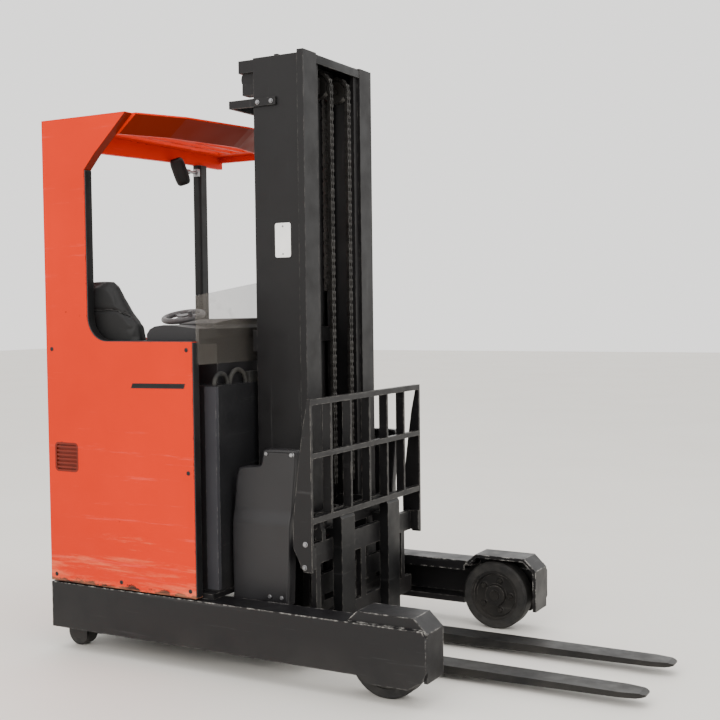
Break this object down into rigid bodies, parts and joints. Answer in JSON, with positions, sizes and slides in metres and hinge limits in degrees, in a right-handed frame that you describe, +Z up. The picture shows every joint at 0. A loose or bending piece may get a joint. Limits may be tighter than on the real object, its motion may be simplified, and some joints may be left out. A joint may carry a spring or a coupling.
{
  "type": "reach truck",
  "caption": "Sit-on reach truck with sideways seat, overhead guard, support legs and a mast that slides forward, lifts and tilts its forks.",
  "frame": {"origin": "centre of the bounding box at floor level", "axes": "+X towards the fork tips, +Y to the left where the operator steps in, +Z up"},
  "size_m": [2.285, 1.17, 2.315],
  "materials": {
    "orange_paint": "satin painted sheet",
    "dark_paint": "satin dark paint",
    "battery_case": "coated steel case",
    "cable_rubber": "matt",
    "plastic": "grained",
    "soft_trim": "vinyl cover",
    "screen": "smoked clear sheet",
    "bare_steel": "machined",
    "rod_chrome": "polished",
    "tyre": "matt",
    "chain_steel": "oiled",
    "fork_steel": "worn black paint"
  },
  "bodies": {
    "chassis": {"right_leg": "dark_paint", "left_leg": "dark_paint", "load_axles": "bare_steel", "rear_frame": "dark_paint", "battery_tray": "dark_paint", "battery": "battery_case", "battery_cables": "cable_rubber", "right_panel": "orange_paint", "left_panel": "orange_paint", "rear_panel": "orange_paint", "vent_grille": "plastic", "roof": "orange_paint", "guard_post": "dark_paint", "rear_mirror": "plastic", "floor_pan": "plastic", "seat_pedestal": "plastic", "seat_cushion": "soft_trim", "seat_back": "soft_trim", "console": "plastic", "instrument_pod": "plastic", "control_levers": "plastic", "steering_console": "plastic", "steering_wheel": "plastic", "front_screen": "screen", "drive_motor": "dark_paint", "reach_barrel": "dark_paint"},
    "drive_unit": {"drive_unit": "dark_paint"},
    "drive_wheel": {"drive_wheel": "tyre"},
    "castor": {"castor_fork": "dark_paint"},
    "castor_wheel": {"castor_wheel": "tyre"},
    "right_load_wheel": {"right_load_tyre": "tyre", "right_load_hub": "bare_steel"},
    "left_load_wheel": {"left_load_tyre": "tyre", "left_load_hub": "bare_steel"},
    "reach_carriage": {"reach_frame": "dark_paint", "reach_rollers": "bare_steel", "reach_rod": "rod_chrome", "mast_shrouds": "plastic", "outer_uprights": "dark_paint", "outer_ties": "dark_paint", "lift_barrels": "dark_paint"},
    "inner_mast": {"inner_uprights": "dark_paint", "inner_ties": "dark_paint", "lift_rods": "rod_chrome", "lift_chains": "chain_steel", "chain_pulleys": "bare_steel"},
    "lift_carriage": {"carriage_frame": "dark_paint", "carriage_rollers": "bare_steel"},
    "fork_frame": {"fork_bars": "dark_paint", "load_backrest": "dark_paint", "right_fork": "fork_steel", "left_fork": "fork_steel"}
  },
  "joints": [
    {"name": "drive_steer", "type": "hinge", "parent": "chassis", "child": "drive_unit", "pos_m": [-0.9275, -0.13, 0.34], "axis": [0, 0, 1], "range_deg": [-90, 90]},
    {"name": "drive_spin", "type": "hinge", "parent": "drive_unit", "child": "drive_wheel", "pos_m": [-0.9275, -0.13, 0.16], "axis": [0, 1, 0], "continuous": true},
    {"name": "castor_swivel", "type": "hinge", "parent": "chassis", "child": "castor", "pos_m": [-1.0465, -0.484, 0.24], "axis": [0, 0, 1], "continuous": true},
    {"name": "castor_spin", "type": "hinge", "parent": "castor", "child": "castor_wheel", "pos_m": [-1.0745, -0.484, 0.055], "axis": [0, 1, 0], "continuous": true},
    {"name": "right_load_spin", "type": "hinge", "parent": "chassis", "child": "right_load_wheel", "pos_m": [0.3295, -0.49, 0.14], "axis": [0, 1, 0], "continuous": true},
    {"name": "left_load_spin", "type": "hinge", "parent": "chassis", "child": "left_load_wheel", "pos_m": [0.3295, 0.49, 0.14], "axis": [0, 1, 0], "continuous": true},
    {"name": "reach_slide", "type": "slide", "parent": "chassis", "child": "reach_carriage", "axis": [1, 0, 0], "range_m": [0, 0.54]},
    {"name": "mast_lift", "type": "slide", "parent": "reach_carriage", "child": "inner_mast", "axis": [0, 0, 1], "range_m": [0, 1.5]},
    {"name": "carriage_lift", "type": "slide", "parent": "inner_mast", "child": "lift_carriage", "axis": [0, 0, 1], "range_m": [0, 1.5]},
    {"name": "fork_tilt", "type": "hinge", "parent": "lift_carriage", "child": "fork_frame", "pos_m": [-0.0745, 0, 0.53], "axis": [0, 1, 0], "range_deg": [-4, 2]}
  ],
  "couplings": [
    {"joint": "carriage_lift", "follows": "mast_lift", "ratio": 1}
  ]
}
